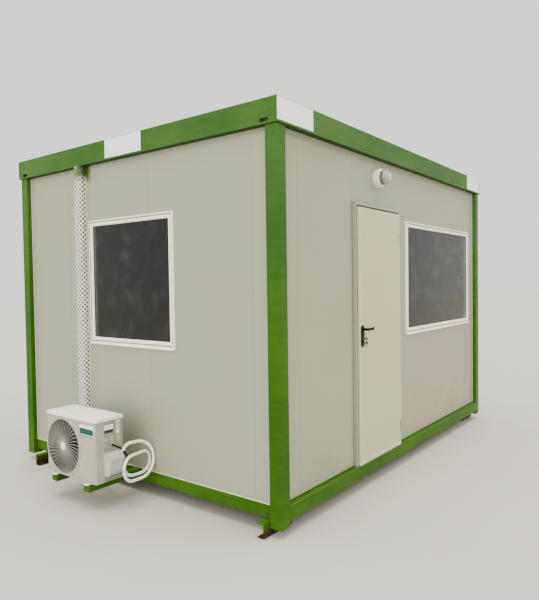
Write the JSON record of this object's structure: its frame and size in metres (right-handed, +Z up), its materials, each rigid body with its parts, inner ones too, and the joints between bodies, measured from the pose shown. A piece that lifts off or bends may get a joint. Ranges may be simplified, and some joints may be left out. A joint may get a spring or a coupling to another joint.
{
  "type": "portable site cabin",
  "caption": "Portable site cabin: a steel frame of posts, rails and roof beams filled with white sandwich panels, with a hinged door, windows, a wall lamp and an outdoor air unit.",
  "frame": {"origin": "on the ground, at the middle of the bounding box in plan", "axes": "+X along the door side, from the air unit's end to the hinge end; +Y from the door side to the back; +Z up"},
  "size_m": [4.386, 3.017, 2.734],
  "materials": {
    "black_plastic": "satin black",
    "brass": "worn brass",
    "coil_metal": "finned coil",
    "door_white": "smooth warm white",
    "fan_grey": "dark grey plastic",
    "foot_steel": "rusty steel with green overspray",
    "frame_green": "green paint, semi-gloss, oversprayed",
    "guard_grey": "pale grey plastic",
    "lamp_clear": "clear ribbed glass",
    "lamp_white": "white plastic",
    "pane": "dark reflective glass",
    "panel_white": "smooth white coated steel",
    "pipe_white": "white pipe wrap",
    "roof_metal": "coated steel sheet",
    "steel": "plain steel",
    "timber": "raw board",
    "trunk_white": "white lattice wrap",
    "unit_white": "white enamel",
    "window_white": "white window plastic"
  },
  "bodies": {
    "cabin": {"back_wall": "panel_white", "base_rails_end": "frame_green", "base_rails_long": "frame_green", "ceiling": "panel_white", "corner_feet": "foot_steel", "corner_posts": "frame_green", "door_frame": "door_white", "fan_guard": "guard_grey", "fan_motor": "steel", "floor": "timber", "floor_joists": "frame_green", "front_wall": "panel_white", "front_window_frame": "window_white", "front_window_glass": "pane", "hinges_frame": "door_white", "lamp_base": "lamp_white", "lamp_lens": "lamp_clear", "left_wall": "panel_white", "left_window_frame": "window_white", "left_window_glass": "pane", "pipe_trunking": "trunk_white", "right_wall": "panel_white", "roof_beams_end": "frame_green", "roof_beams_long": "frame_green", "roof_purlins": "roof_metal", "roof_sheet": "roof_metal", "unit_brackets": "frame_green", "unit_cable": "black_plastic", "unit_casing": "unit_white", "unit_coil": "coil_metal", "unit_feet": "unit_white", "unit_lid": "unit_white", "valve_cover": "unit_white", "wrapped_pipes": "pipe_white"},
    "door": {"door_leaf": "door_white", "hinges_leaf": "door_white", "door_backplates": "black_plastic", "lock_cylinder": "brass", "door_key": "steel"},
    "lever": {"lever_outside": "black_plastic", "lever_inside": "black_plastic", "handle_spindle": "steel"},
    "fan": {"fan": "fan_grey"}
  },
  "joints": [
    {"name": "door_hinge", "type": "hinge", "parent": "cabin", "child": "door", "pos_m": [0.012, -1.4305, 0.194], "axis": [0, 0, 1], "range_deg": [0, 110]},
    {"name": "lever_turn", "type": "hinge", "parent": "door", "child": "lever", "pos_m": [-0.68, -1.4225, 1.237], "axis": [0, 1, 0], "range_deg": [0, 40], "stiffness_Nm_per_rad": 0.8, "springref_deg": -28.65},
    {"name": "fan_spin", "type": "hinge", "parent": "cabin", "child": "fan", "pos_m": [-2.123, 0.2575, 0.418], "axis": [1, 0, 0], "continuous": true}
  ]
}
